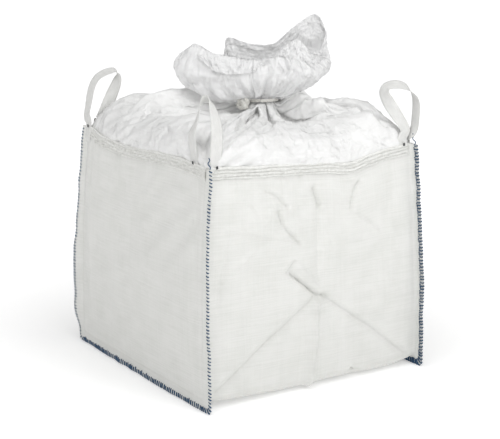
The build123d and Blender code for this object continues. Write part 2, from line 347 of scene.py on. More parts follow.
def tubes(name, paths, radius, material, sides=6):
    """Round threads along paths, an array of (threads, points, 3), as one piece."""
    paths = np.asarray(paths, float)
    count, length = paths.shape[:2]
    tangent = unit(np.gradient(paths, axis=1))
    reference = np.where(abs(tangent[..., :1]) < 0.8, [1.0, 0.0, 0.0], [0.0, 0.0, 1.0])
    side = unit(np.cross(tangent, reference))
    up = np.cross(side, tangent)
    angle = np.arange(sides) * 2 * np.pi / sides
    ring = np.cos(angle)[:, None] * side[:, :, None] + np.sin(angle)[:, None] * up[:, :, None]
    radius = np.broadcast_to(radius, (count, length))[..., None, None]
    points = paths[:, :, None] + ring * radius
    index = np.arange(count * length * sides).reshape(count, length, sides)
    right = np.roll(index, -1, axis=2)
    walls = np.stack([index[:, :-1], right[:, :-1], right[:, 1:], index[:, 1:]], -1).reshape(-1, 4)
    steps = np.linspace(0, 1, length)[None, :, None] * np.ones((count, 1, sides))
    around = np.broadcast_to(angle / (2 * np.pi), (count, length, sides))
    run = np.linalg.norm(np.diff(paths, axis=1), axis=2).sum(1)[:, None, None]
    uvs = np.stack([around * 0.01, steps * run], -1).reshape(-1, 2)
    caps = [index[:, 0, ::-1], index[:, -1]]
    mesh = bpy.data.meshes.new(name)
    polygons = walls.tolist() + [c.tolist() for cap in caps for c in cap]
    mesh.from_pydata(points.reshape(-1, 3).tolist(), [], polygons)
    layer = mesh.uv_layers.new(name="cloth")
    corners = np.zeros(len(mesh.loops), np.int32)
    mesh.loops.foreach_get("vertex_index", corners)
    layer.data.foreach_set("uv", uvs[corners].astype(np.float32).ravel())
    mesh.polygons.foreach_set("use_smooth", np.full(len(mesh.polygons), True))
    mesh.materials.append(material)
    piece = bpy.data.objects.new(name, mesh)
    bpy.context.scene.collection.objects.link(piece)
    return piece


def ribbon(name, centres, across, width, thickness, material, columns=12):
    """A closed strap swept along its centre line, with its flat turned to the across directions."""
    centres, across = np.asarray(centres, float), unit(np.asarray(across, float))
    tangent = unit(np.gradient(centres, axis=0))
    across = unit(across - (across * tangent).sum(1, keepdims=True) * tangent)
    normal = np.cross(tangent, across)
    spots = np.linspace(-0.5, 0.5, columns)
    crown = (1 - (2 * spots) ** 6) * 0.5 + 0.12
    a = np.concatenate([spots, spots[::-1]]) * width
    b = np.concatenate([crown, -crown[::-1]]) * thickness
    points = centres[:, None] + a[:, None] * across[:, None] + b[:, None] * normal[:, None]
    rows, ring = points.shape[:2]
    run = np.concatenate([[0], np.cumsum(np.linalg.norm(np.diff(centres, axis=0), axis=1))])
    uvs = np.stack(np.broadcast_arrays(a[None, :], run[:, None]), -1)
    faces = grid_faces(rows, ring, closed=True)
    half = ring // 2
    last = (rows - 1) * ring
    for k in range(half - 1):
        start = [k, ring - 1 - k, ring - 2 - k, k + 1]
        end = [last + k, last + k + 1, last + ring - 2 - k, last + ring - 1 - k]
        faces = np.vstack([faces, start, end])
    return new_object(name, points.reshape(-1, 3), faces, uvs.reshape(-1, 2), material)


# ---------------------------------------------------------------- materials
class Nodes:
    """Short names for making a material's nodes."""

    def __init__(self, name):
        self.material = bpy.data.materials.new(name)
        self.material.use_nodes = True
        self.tree = self.material.node_tree
        self.shader = self.tree.nodes["Principled BSDF"]

    def put(self, socket, value):
        if isinstance(value, bpy.types.NodeSocket):
            self.tree.links.new(value, socket)
        else:
            socket.default_value = value

    def math(self, operation, *values):
        node = self.tree.nodes.new("ShaderNodeMath")
        node.operation = operation
        for socket, value in zip(node.inputs, values):
            self.put(socket, value)
        return node.outputs[0]

    def cloth_uv(self):
        """(u, v) of the cloth, in metres."""
        uv = self.tree.nodes.new("ShaderNodeUVMap")
        uv.uv_map = "cloth"
        split = self.tree.nodes.new("ShaderNodeSeparateXYZ")
        self.put(split.inputs[0], uv.outputs[0])
        return split.outputs[0], split.outputs[1]

    def noise(self, u, v, scale_u, scale_v, detail=3.0, roughness=0.55):
        """Noise with this many bumps to the metre along u and along v."""
        join = self.tree.nodes.new("ShaderNodeCombineXYZ")
        self.put(join.inputs[0], self.math("MULTIPLY", u, scale_u))
        self.put(join.inputs[1], self.math("MULTIPLY", v, scale_v))
        node = self.tree.nodes.new("ShaderNodeTexNoise")
        node.inputs["Scale"].default_value = 1.0
        node.inputs["Detail"].default_value = detail
        node.inputs["Roughness"].default_value = roughness
        self.put(node.inputs["Vector"], join.outputs[0])
        return node.outputs[0]

    def facets(self, u, v, scale, warp=None):
        """Height of a crumpled face: shallow cones, this many to the metre, that meet in sharp lines."""
        join = self.tree.nodes.new("ShaderNodeCombineXYZ")
        self.put(join.inputs[0], self.math("MULTIPLY_ADD", u, scale, warp or 0.0))
        self.put(join.inputs[1], self.math("MULTIPLY_ADD", v, scale, warp or 0.0))
        node = self.tree.nodes.new("ShaderNodeTexVoronoi")
        node.inputs["Scale"].default_value = 1.0
        self.put(node.inputs["Vector"], join.outputs[0])
        return node.outputs["Distance"]

    def ramp(self, value, stops):
        """A colour for each value, from (position, colour) stops."""
        node = self.tree.nodes.new("ShaderNodeValToRGB")
        elements = node.color_ramp.elements
        while len(elements) < len(stops):
            elements.new(0.5)
        for element, (position, colour) in zip(elements, stops):
            element.position = position
            element.color = (*colour, 1)
        self.put(node.inputs[0], value)
        return node.outputs[0]

    def spread(self, value, low, high):
        """A value from 0 to 1 taken to low to high."""
        return self.math("MULTIPLY_ADD", value, high - low, low)

    def bump(self, height, distance, strength=1.0, below=None):
        node = self.tree.nodes.new("ShaderNodeBump")
        node.inputs["Distance"].default_value = distance
        node.inputs["Strength"].default_value = strength
        self.put(node.inputs["Height"], height)
        if below is not None:
            self.put(node.inputs["Normal"], below)
        return node.outputs[0]

    def weave(self, u, v, tape):
        """Height of a plain weave of flat tapes, from 0 to 1."""
        nu, nv = self.math("DIVIDE", u, tape), self.math("DIVIDE", v, tape)
        cells = self.math("ADD", self.math("FLOOR", nu), self.math("FLOOR", nv))
        over = self.math("FLOORED_MODULO", cells, 2.0)
        arch_u = self.math("ABSOLUTE", self.math("SINE", self.math("MULTIPLY", nu, math.pi)))
        arch_v = self.math("ABSOLUTE", self.math("SINE", self.math("MULTIPLY", nv, math.pi)))
        warp = self.math("MULTIPLY", self.math("POWER", arch_u, 0.5), over)
        weft = self.math("MULTIPLY", self.math("POWER", arch_v, 0.5), self.math("SUBTRACT", 1.0, over))
        return self.math("ADD", warp, weft)


def finish_shader(nodes, colour, roughness, normal, sheen=0.0, coat=0.0, specular=0.5):
    shader = nodes.shader
    nodes.put(shader.inputs["Base Color"], colour)
    nodes.put(shader.inputs["Roughness"], roughness)
    nodes.put(shader.inputs["Normal"], normal)
    shader.inputs["Sheen Weight"].default_value = sheen
    shader.inputs["Coat Weight"].default_value = coat
    shader.inputs["Coat Roughness"].default_value = 0.3
    shader.inputs["Specular IOR Level"].default_value = specular
    return nodes.material


def woven_material(name, dark, light, tape=0.0026, gloss=0.52, weave_depth=0.00035, mottling=9.0, coat=0.0):
    """Woven plastic tape cloth, with uneven weft tapes and faint clouding."""
    n = Nodes(name)
    u, v = n.cloth_uv()
    weave = n.weave(u, v, tape)
    slubs = n.noise(u, v, 5.0, 210.0, 2.0)
    warps = n.noise(u, v, 160.0, 3.0, 2.0)
    clouds = n.noise(u, v, mottling, mottling, 4.0)
    tone = n.math("ADD", n.math("MULTIPLY", slubs, 0.34), n.math("MULTIPLY", warps, 0.16))
    tone = n.math("ADD", tone, n.math("MULTIPLY", clouds, 0.34))
    tone = n.math("ADD", tone, n.math("MULTIPLY", weave, 0.16))
    colour = n.ramp(tone, ((0.30, dark), (0.62, light)))
    roughness = n.spread(n.math("ADD", n.math("MULTIPLY", clouds, 0.5), n.math("MULTIPLY", slubs, 0.5)),
                         gloss - 0.10, gloss + 0.14)
    fine = n.bump(weave, weave_depth)
    bands = n.bump(slubs, 0.0011, 0.8, fine)
    return finish_shader(n, colour, roughness, bands, coat=coat)


def thread_material(name, dark, light, twist=900.0, roughness=0.6):
    """Twisted yarn."""
    n = Nodes(name)
    u, v = n.cloth_uv()
    strands = n.math("SINE", n.math("ADD", n.math("MULTIPLY", v, twist), n.math("MULTIPLY", u, 1256.6)))
    fuzz = n.noise(u, v, 900.0, 500.0, 2.0)
    tone = n.math("ADD", n.math("MULTIPLY_ADD", strands, 0.2, 0.2), n.math("MULTIPLY", fuzz, 0.6))
    colour = n.ramp(tone, ((0.2, dark), (0.75, light)))
    rough = n.spread(fuzz, roughness - 0.1, roughness + 0.15)
    return finish_shader(n, colour, rough, n.bump(tone, 0.0006), sheen=0.2)


def webbing_material(name, dark, light, ribs=14):
    """Heavy webbing with ribs along it and a twill across them."""
    n = Nodes(name)
    u, v = n.cloth_uv()
    rib = n.math("ABSOLUTE", n.math("SINE", n.math("MULTIPLY", u, math.pi * ribs / 0.05)))
    twill = n.math("SINE", n.math("ADD", n.math("MULTIPLY", v, 2100.0), n.math("MULTIPLY", u, 1700.0)))
    wear = n.noise(u, v, 60.0, 30.0, 4.0)
    tone = n.math("ADD", n.math("MULTIPLY", rib, 0.3), n.math("MULTIPLY_ADD", twill, 0.08, 0.08))
    tone = n.math("ADD", tone, n.math("MULTIPLY", wear, 0.5))
    colour = n.ramp(tone, ((0.25, dark), (0.70, light)))
    height = n.math("ADD", rib, n.math("MULTIPLY", twill, 0.35))
    return finish_shader(n, colour, n.spread(wear, 0.5, 0.72), n.bump(height, 0.0007), sheen=0.1)


def coated_material(name, dark, light, glow, depth):
    """Thin coated cloth, glossy, crumpled and a little translucent, with the weave showing faintly through, and a
    painted glow: faint white emission, rising with glow, that brightens the cloth though it is no lamp.
    """
    n = Nodes(name)
    u, v = n.cloth_uv()
    weave = n.weave(u, v, 0.0024)
    slubs = n.noise(u, v, 6.0, 190.0, 2.0)
    warp = n.math("MULTIPLY", n.noise(u, v, 9.0, 9.0, 3.0), 3.0)
    broad = n.facets(u, v, 13.0, warp)
    small = n.facets(u, v, 34.0, warp)
    clouds = n.noise(u, v, 7.0, 7.0, 4.0)
    tone = n.math("ADD", n.math("MULTIPLY", slubs, 0.30), n.math("MULTIPLY", clouds, 0.55))
    # The small facets' height also sets the colour, darker in their hollows: painted shade in the crumples.
    tone = n.math("ADD", tone, n.math("MULTIPLY", small, 0.12))
    colour = n.ramp(tone, ((0.30, dark), (0.66, light)))
    rough = n.spread(clouds, 0.28, 0.50)
    fine = n.bump(weave, 0.00018)
    bands = n.bump(slubs, 0.0006, 0.7, fine)
    crumpled = n.bump(broad, depth, 0.8, n.bump(small, depth * 0.22, 0.7, bands))
    material = finish_shader(n, colour, rough, crumpled, coat=0.15)
    light_through = n.tree.nodes.new("ShaderNodeBsdfTranslucent")
    n.put(light_through.inputs["Color"], colour)
    both = n.tree.nodes.new("ShaderNodeMixShader")
    both.inputs[0].default_value = glow
    n.put(both.inputs[1], n.shader.outputs[0])
    n.put(both.inputs[2], light_through.outputs[0])
    n.put(n.tree.nodes["Material Output"].inputs["Surface"], both.outputs[0])
    # Painted glow: white emission of 0.28 times glow, which lifts the cloth's brightness though the cloth is no lamp.
    n.shader.inputs["Emission Color"].default_value = (1, 1, 1, 1)
    n.shader.inputs["Emission Strength"].default_value = glow * 0.28
    return material


# ---------------------------------------------------------------- camera, floor and light
CAMERA_AT = (-2.673, -4.161, 1.656)
CAMERA_AZIMUTH = math.radians(-32.91)
CAMERA_PITCH = math.radians(12.75)
CAMERA_LENS = 94.52


def make_camera():
    data = bpy.data.cameras.new("camera")
    data.lens = CAMERA_LENS
    data.sensor_width = 36.0
    camera = bpy.data.objects.new("camera", data)
    camera.location = CAMERA_AT
    camera.rotation_euler = (math.pi / 2 - CAMERA_PITCH, 0.0, CAMERA_AZIMUTH)
    bpy.context.scene.collection.objects.link(camera)
    bpy.context.scene.camera = camera


def area_light(name, location, target, size, power, colour=(1, 1, 1)):
    data = bpy.data.lights.new(name, "AREA")
    data.shape = "RECTANGLE"
    data.size, data.size_y = size
    data.energy = power
    data.color = colour
    light = bpy.data.objects.new(name, data)
    light.location = location
    back = unit(np.array(location, float) - np.array(target, float))
    light.rotation_euler = (math.acos(back[2]), 0.0, math.atan2(back[1], back[0]) + math.pi / 2)
    bpy.context.scene.collection.objects.link(light)


def make_studio():
    """A pale floor under a white sky, a broad light overhead and a softer one from the front right."""
    world = bpy.data.worlds.new("studio")
    world.use_nodes = True
    tree = world.node_tree
    background = tree.nodes["Background"]
    background.inputs["Color"].default_value = (1, 1, 1, 1)
    path = tree.nodes.new("ShaderNodeLightPath")
    strength = tree.nodes.new("ShaderNodeMapRange")
    strength.inputs["To Min"].default_value = SKY_LIGHT
    strength.inputs["To Max"].default_value = 1.0
    tree.links.new(path.outputs["Is Camera Ray"], strength.inputs["Value"])
    tree.links.new(strength.outputs[0], background.inputs["Strength"])
    bpy.context.scene.world = world
    bpy.context.scene.view_settings.view_transform = "Standard"

    n = Nodes("studio_floor")
    n.shader.inputs["Base Color"].default_value = (0.93, 0.93, 0.93, 1)
    n.shader.inputs["Roughness"].default_value = 0.7
    n.shader.inputs["Specular IOR Level"].default_value = 0.2
    place = n.tree.nodes.new("ShaderNodeTexCoord")
    distance = n.tree.nodes.new("ShaderNodeVectorMath")
    distance.operation = "LENGTH"
    n.put(distance.inputs[0], place.outputs["Object"])
    glow = n.tree.nodes.new("ShaderNodeMapRange")
    n.put(glow.inputs["Value"], distance.outputs["Value"])
    glow.inputs["From Min"].default_value = 0.6
    glow.inputs["From Max"].default_value = 2.5
    glow.inputs["To Min"].default_value = 0.24
    glow.inputs["To Max"].default_value = 0.75
    n.shader.inputs["Emission Color"].default_value = (1, 1, 1, 1)
    n.put(n.shader.inputs["Emission Strength"], glow.outputs["Result"])
    corner = 60.0
    points = np.array([(-corner, -corner, 0), (corner, -corner, 0), (corner, corner, 0), (-corner, corner, 0)])
    floor = new_object("studio_floor", points, np.array([(0, 1, 2, 3)]), None, n.material)
    area_light("overhead", (-0.9, -1.3, 4.1), (0.0, 0.0, 0.6), (3.2, 3.2), OVERHEAD_POWER)
    area_light("camera_side", (0.9, -4.7, 3.5), (0.0, -0.2, 0.7), (1.4, 1.4), KEY_POWER)


SKY_LIGHT = 0.42
OVERHEAD_POWER = 66
KEY_POWER = 56

make_camera()
make_studio()

WOVEN = woven_material("woven_white", (0.70, 0.71, 0.67), (0.84, 0.84, 0.815))
TAPE = woven_material("rim_tape_white", (0.60, 0.60, 0.57), (0.90, 0.90, 0.875), 0.0018, 0.62, 0.0004, 60.0)
# The fourth argument sets both the light through the cloth and its painted glow; the spout's cloth has the most.
COATED = coated_material("coated_white", (0.84, 0.84, 0.83), (0.95, 0.95, 0.945), 0.06, 0.016)
SPOUT_CLOTH = coated_material("spout_white", (0.88, 0.88, 0.88), (0.97, 0.97, 0.97), 0.38, 0.013)
WEBBING = webbing_material("webbing_white", (0.70, 0.70, 0.68), (0.90, 0.90, 0.88))
BLUE = thread_material("binding_blue", (0.003, 0.024, 0.062), (0.010, 0.080, 0.190))
WHITE_YARN = thread_material("white_yarn", (0.72, 0.72, 0.68), (0.90, 0.90, 0.87))
BLACK_YARN = thread_material("black_yarn", (0.006, 0.006, 0.009), (0.035, 0.035, 0.045))
TIE_YARN = thread_material("tie_yarn", (0.68, 0.67, 0.62), (0.87, 0.86, 0.82), 500.0, 0.7)


def attach(piece, nodes, body="bag"):
    """Rides the piece on its body, in place of these CAD nodes."""
    if body:
        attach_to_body(piece, body)
    if nodes:
        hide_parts(*nodes)
    return piece


# ---------------------------------------------------------------- folded panel and side panels
def panel_rows():
    """Runs along the folded panel, closer together where folds are sharp."""
    wall = np.linspace(0, WALL_RUN, 134)[:-1]
    turn = WALL_RUN + np.linspace(0, TURN_RUN, 10)[:-1]
    base = WALL_RUN + TURN_RUN + np.linspace(0, BASE_RUN, 46)[:-1]
    turn_2 = WALL_RUN + TURN_RUN + BASE_RUN + np.linspace(0, TURN_RUN, 10)[:-1]
    back = FIN_RUN - WALL_RUN + np.linspace(0, WALL_RUN, 90)
    return np.concatenate([wall, turn, base, turn_2, back])


FILLET = 0.020


def make_folded_panel():
    """Front, base and back in one length, with its side edges turned out into the fins."""
    flat = HALF_X - BODY_FABRIC - FILLET
    turn = np.linspace(0, np.pi / 2, 6)[1:]
    fillet_x = flat + FILLET * np.sin(turn)
    fillet_out = FILLET * (1 - np.cos(turn))
    flange_out = np.linspace(FILLET, SEAM - 0.0008, 5)[1:]
    half_x = np.concatenate([fillet_x, np.full(len(flange_out), fillet_x[-1])])
    half_out = np.concatenate([fillet_out, flange_out])
    middle = np.linspace(-flat, flat, 147)
    x = np.concatenate([-half_x[::-1], middle, half_x])
    out = np.concatenate([half_out[::-1], np.zeros(len(middle)), half_out])
    run = panel_rows()[:, None]
    y_fold, z_fold = fin_curve(run, np.zeros_like(x)[None])
    on_wall = smoothstep(WALL_RUN + TURN_RUN, WALL_RUN, run) + smoothstep(FIN_RUN - WALL_RUN - TURN_RUN, FIN_RUN - WALL_RUN, run)
    relief = np.where(y_fold < 0, front_relief(x, z_fold), back_relief(x, z_fold)) * on_wall
    base_relief = 0.004 * fractal(x + 9, run + 9, 0.16, 61) * (1 - on_wall)
    inside = smoothstep(HALF_X, flat - 0.02, abs(x))
    offset = out + (relief + base_relief) * inside
    y, z = fin_curve(run, offset)
    side = np.sign(x)
    across = x + side * (fin_flutter(y, z, -1) * (x < 0) + fin_flutter(y, z, 1) * (x > 0))
    points = settle(across, y, z)
    width = np.concatenate([[0], np.cumsum(np.hypot(np.diff(x), np.diff(out)))])
    uvs = np.stack(np.broadcast_arrays(width[None, :], run), -1)
    panel = cloth_piece("folded_panel_cloth", points, uvs, WOVEN, BODY_FABRIC, flip=True)
    attach(panel, ["folded_panel"])


def make_side_panel(side, name):
    """Flat side wall that reaches out to the edges of its fin."""
    reach = HALF_Y + SEAM
    ease = np.linspace(-1, 1, 150)
    y = np.sign(ease) * (1 - (1 - abs(ease)) ** 1.25) * reach
    corner = np.clip((abs(y) - HALF_Y + FOLD_RADIUS) / (SEAM + FOLD_RADIUS), 0, 1)
    lowest = (SEAM + FOLD_RADIUS) * (1 - (1 - corner**FIN_SQUARENESS) ** (1 / FIN_SQUARENESS)) + 0.001
    rows = np.linspace(0, 1, 146) ** 1.12
    z = lowest[None, :] + rows[:, None] * (RIM - lowest[None, :])
    y = np.broadcast_to(y[None, :], z.shape)
    wall = "left" if side < 0 else "right"
    points = wall_point(wall, y, z)
    uvs = np.stack([y, z], -1)
    panel = cloth_piece(f"side_panel_{name}_cloth", points, uvs, WOVEN, BODY_FABRIC, flip=side > 0)
    attach(panel, [f"side_panel_{name}"])


# ---------------------------------------------------------------- threads
BIND_PITCH = 0.0125
BIND_REACH = {"left": 0.0062, "right": 0.0150}
BASE_BIND_REACH = 0.0165
BIND_THREAD = 0.0026


def fin_point(side, run, offset, out):
    """A point beside the fin: out is the distance from the middle between its two layers."""
    y, z = fin_curve(run, offset)
    across = HALF_X - BODY_FABRIC + fin_flutter(y, z, side) + out
    if np.ndim(run):
        seam = side_relief(y, z, side)
        across = across + seam
    return settle(side * across, y, z)


def make_seam_binding(side, name):
    """Thick overlock yarn: a staple round the fin's edge at each stitch."""
    rng = np.random.default_rng(70 + side)
    stitches = int(FIN_RUN / BIND_PITCH)
    start = (np.arange(stitches) + 0.5) * BIND_PITCH + rng.uniform(-0.0012, 0.0012, stitches)
    base_start = WALL_RUN + 0.3 * TURN_RUN
    on_base = smoothstep(base_start, base_start + 0.05, start) * smoothstep(FIN_RUN - base_start, FIN_RUN - base_start - 0.05, start)
    reach = BIND_REACH[name] + (BASE_BIND_REACH - BIND_REACH[name]) * on_base
    reach = (reach + 0.003 * smoothstep(FIN_RUN - WALL_RUN, FIN_RUN, start)) * rng.uniform(0.85, 1.15, stitches)
    lift = BODY_FABRIC + BIND_THREAD * 0.7
    shape = np.array([(-1.0, -0.6), (-1.0, 0.2), (-0.8, 0.9), (-0.3, 1.0), (0.12, 0.75), (0.22, 0.0),
                      (0.12, -0.75), (-0.3, -1.0), (-0.8, -0.9), (-1.0, -0.2)])
    path = spline(np.column_stack([shape, np.linspace(0, 1, len(shape))]), 18)
    run = start[:, None] + (path[:, 2] - 0.5)[None] * 0.55 * BIND_PITCH
    offset = SEAM - 0.0012 + path[None, :, 0] * reach[:, None]
    out = np.broadcast_to(path[None, :, 1] * lift, run.shape)
    radius = (BIND_THREAD * (0.9 + 0.25 * on_base) * rng.uniform(0.85, 1.2, stitches))[:, None]
    staples = fin_point(side, run, offset, out)
    staples[..., 2] = np.maximum(staples[..., 2], radius - 0.0008)
    binding = tubes(f"seam_binding_{name}_staples", staples, radius, BLUE)
    attach(binding, [f"seam_binding_{name}"])


def make_thread_tail(side, name):
    """The end of the blue yarn, left standing in a small loop above the front corner's rim."""
    t = np.linspace(0, 1, 40)[:, None]
    top = fin_point(side, np.array([0.0]), np.array([SEAM - 0.010]), np.array([0.0]))[0]
    swing = 0.0045 * np.sin(t * 9.0) * np.sin(np.pi * t)
    path = top + t * (-side * 0.004, 0.012, 0.040) + swing * VIEW_RIGHT - (0, 0, 0.002)
    tail = tubes(f"seam_binding_{name}_tail", [path], BIND_THREAD * 0.7, BLUE, 6)
    attach(tail, [f"seam_binding_{name}"])


def make_seam_stitches(side, name):
    """Lockstitch that closes the seam, in short sunk stitches."""
    pitch, length = 0.0095, 0.0068
    stitches = int((FIN_RUN - 0.01) / pitch)
    start = (np.arange(stitches) + 0.5) * pitch
    steps = np.linspace(0, 1, 7)
    run = start[:, None] + steps[None] * length
    out = BODY_FABRIC + 0.0006 + 0.0007 * np.sin(np.pi * steps)[None] - 0.0006
    paths = fin_point(side, run, np.full(run.shape, 0.007), np.broadcast_to(out, run.shape))
    stitch_line = tubes(f"seam_stitches_{name}_thread", paths, 0.0007, WHITE_YARN, 5)
    attach(stitch_line, [f"seam_stitches_{name}"])


# ---------------------------------------------------------------- rim
RIM_WALLS = (("front", HALF_X - 0.010), ("back", HALF_X - 0.010), ("left", HALF_Y + 0.006), ("right", HALF_Y + 0.006))
STITCH_DEPTHS = (0.008, 0.020, 0.032)


def tape_out(wall, along, depth):
    """How far the tape's puckered face stands outside the wall."""
    seed = 80 + len(wall)
    strength = 0.0034 if wall in ("left", "right") else 0.0020
    pucker = strength * lattice_noise(along + 2, depth * 2.0 + 2, 0.011, seed)
    roll = 0.0016 * lattice_noise(along + 2, depth + 2, 0.06, seed + 3)
    rows = sum(np.exp(-((depth - row) / 0.0022) ** 2) for row in STITCH_DEPTHS)
    return 0.0042 + pucker + roll - 0.0008 * rows


def make_rim(wall, half_length):
    """Tape folded over the wall's top edge, and three rows of chain stitch through it."""
    along = np.linspace(-half_length, half_length, 330)[None, :]
    outside = np.linspace(TAPE_HEIGHT, 0.003, 17)
    bend = np.linspace(0, np.pi, 7)
    depth = np.concatenate([outside, -0.0022 * np.sin(bend), np.linspace(0.004, 0.022, 6)])[:, None]
    face = np.concatenate([np.ones(len(outside)), np.cos(bend), -np.ones(6)])[:, None]
    out = np.where(face > 0, tape_out(wall, along, depth) * face, 0.0022 * face - BODY_FABRIC)
    points = wall_point(wall, np.broadcast_to(along, out.shape), RIM - np.broadcast_to(depth, out.shape), out)
    uvs = np.stack(np.broadcast_arrays(along, depth), -1)
    flip = wall in ("back", "left")
    tape = cloth_piece(f"rim_tape_{wall}_cloth", points, uvs, TAPE, 0.0012, flip=flip)
    attach(tape, [f"rim_tape_{wall}"])

    pitch, per_stitch = 0.0085, 8
    count = int(2 * half_length / pitch * per_stitch)
    spots = np.linspace(-half_length, half_length, count)
    phase = spots / pitch * 2 * np.pi
    strands = []
    for row in STITCH_DEPTHS:
        wander = 0.0016 * lattice_noise(spots + 2, spots * 0 + row * 100, 0.05, 60)
        for turn in (0, np.pi):
            depth = row + wander + 0.0013 * np.sin(phase + turn)
            out = tape_out(wall, spots, row) + 0.0008 + 0.0004 * np.cos(phase * 2 + turn)
            strands.append(wall_point(wall, spots, RIM - depth, out))
    stitches = tubes(f"rim_stitches_{wall}_thread", np.stack(strands), 0.00085, WHITE_YARN, 5)
    attach(stitches, [f"rim_stitches_{wall}"])


# ---------------------------------------------------------------- lifting loops
WEB_WIDTH = 0.046
WEB_THICKNESS = 0.0025
SEWN_LENGTH = 0.22
VIEW_RIGHT = np.array([0.8395, -0.5433, 0.0])
VIEW_AWAY = np.array([0.5433, 0.8395, 0.0])
VIEW_AXES = np.stack([VIEW_RIGHT, VIEW_AWAY, (0.0, 0.0, 1.0)])

# Each loop: the corner it is measured from, its feet as (wall, place along it, inside or outside the
# wall), and stations of its free part as (right, away, height) and the direction of its outer edge.
LOOPS = {
    "front_left": ((-0.45, -0.43), (("left", -0.383, -1), ("front", -0.431, -1)), (
        ((-0.035, 0.066, 0.920), (0.54, -0.84, 0.0)),
        ((-0.036, 0.075, 0.960), (0.50, -0.85, 0.1)),
        ((-0.020, 0.090, 1.000), (0.30, -0.90, 0.25)),
        ((-0.009, 0.098, 1.045), (0.10, -0.80, 0.5)),
        ((0.005, 0.104, 1.068), (-0.10, -0.70, 0.65)),
        ((0.024, 0.100, 1.066), (-0.30, -0.70, 0.6)),
        ((0.036, 0.088, 1.035), (-0.55, -0.75, 0.3)),
        ((0.046, 0.070, 0.995), (-0.75, -0.65, 0.1)),
        ((0.049, 0.050, 0.940), (-0.84, -0.54, 0.0)),
        ((0.046, 0.030, 0.905), (-0.84, -0.54, 0.0)))),
    "back_left": ((-0.45, 0.43), (("left", 0.466, 1), ("back", -0.428, -1)), (
        ((-0.010, 0.024, 0.920), (-0.54, 0.84, 0.0)),
        ((-0.003, 0.026, 0.956), (-0.60, 0.80, 0.0)),
        ((0.006, 0.030, 1.005), (-0.62, 0.75, 0.1)),
        ((0.016, 0.034, 1.040), (-0.50, 0.78, 0.3)),
        ((0.034, 0.040, 1.068), (-0.30, 0.80, 0.45)),
        ((0.062, 0.045, 1.086), (-0.15, 0.85, 0.5)),
        ((0.096, 0.048, 1.094), (-0.15, 0.88, 0.4)),
        ((0.114, 0.046, 1.078), (-0.50, 0.85, 0.1)),
        ((0.108, 0.044, 1.046), (-0.85, 0.50, 0.0)),
        ((0.088, 0.042, 1.000), (-0.98, 0.05, 0.0)),
        ((0.060, 0.038, 0.940), (-0.90, -0.40, 0.0)),
        ((0.042, 0.035, 0.905), (-0.84, -0.54, 0.0)))),
    "front_right": ((0.45, -0.43), (("front", 0.436, -1), ("right", -0.450, -1)), (
        ((-0.022, -0.028, 0.912), (0.84, 0.54, 0.0)),
        ((-0.053, -0.020, 0.962), (0.97, 0.20, 0.0)),
        ((-0.084, -0.012, 1.010), (0.92, -0.25, -0.1)),
        ((-0.100, -0.006, 1.044), (0.70, -0.65, -0.2)),
        ((-0.090, -0.002, 1.067), (0.35, -0.80, -0.45)),
        ((-0.055, 0.000, 1.074), (0.10, -0.78, -0.6)),
        ((-0.019, 0.000, 1.064), (0.15, -0.80, -0.5)),
        ((0.008, -0.002, 1.036), (0.40, -0.85, -0.25)),
        ((0.019, -0.006, 1.003), (0.50, -0.84, -0.1)),
        ((0.017, -0.012, 0.945), (0.54, -0.84, 0.0)),
        ((0.010, -0.018, 0.905), (0.54, -0.84, 0.0)))),
    "back_right": ((0.45, 0.43), (("back", 0.433, -1), ("right", 0.440, -1)), (
        ((-0.046, -0.020, 0.915), (0.84, 0.54, 0.0)),
        ((-0.055, -0.035, 0.970), (0.80, 0.60, 0.1)),
        ((-0.055, -0.050, 1.030), (0.60, 0.75, 0.25)),
        ((-0.035, -0.060, 1.075), (0.40, 0.80, 0.45)),
        ((-0.010, -0.060, 1.080), (0.20, 0.85, 0.5)),
        ((0.010, -0.055, 1.050), (0.00, 0.95, 0.3)),
        ((0.014, -0.045, 1.000), (-0.30, 0.90, 0.15)),
        ((0.010, -0.033, 0.950), (-0.50, 0.85, 0.0)),
        ((0.006, -0.024, 0.912), (-0.54, 0.84, 0.0)))),
}


def leg_points(wall, along, face, z, clear):
    """Points of a webbing leg that runs down inside (face -1) or outside (face 1) its wall."""
    over_tape = smoothstep(RIM - TAPE_HEIGHT - 0.03, RIM - TAPE_HEIGHT, z)
    out = -BODY_FABRIC - clear if face < 0 else 0.0008 + 0.0046 * over_tape + clear
    return wall_point(wall, np.full(len(z), along), z, np.zeros(len(z)) + out)


def outer_edge(wall, along):
    """Direction along the wall towards its nearer corner."""
    side = math.copysign(1, along)
    return (side, 0.0, 0.0) if wall in ("front", "back") else (0.0, side, 0.0)


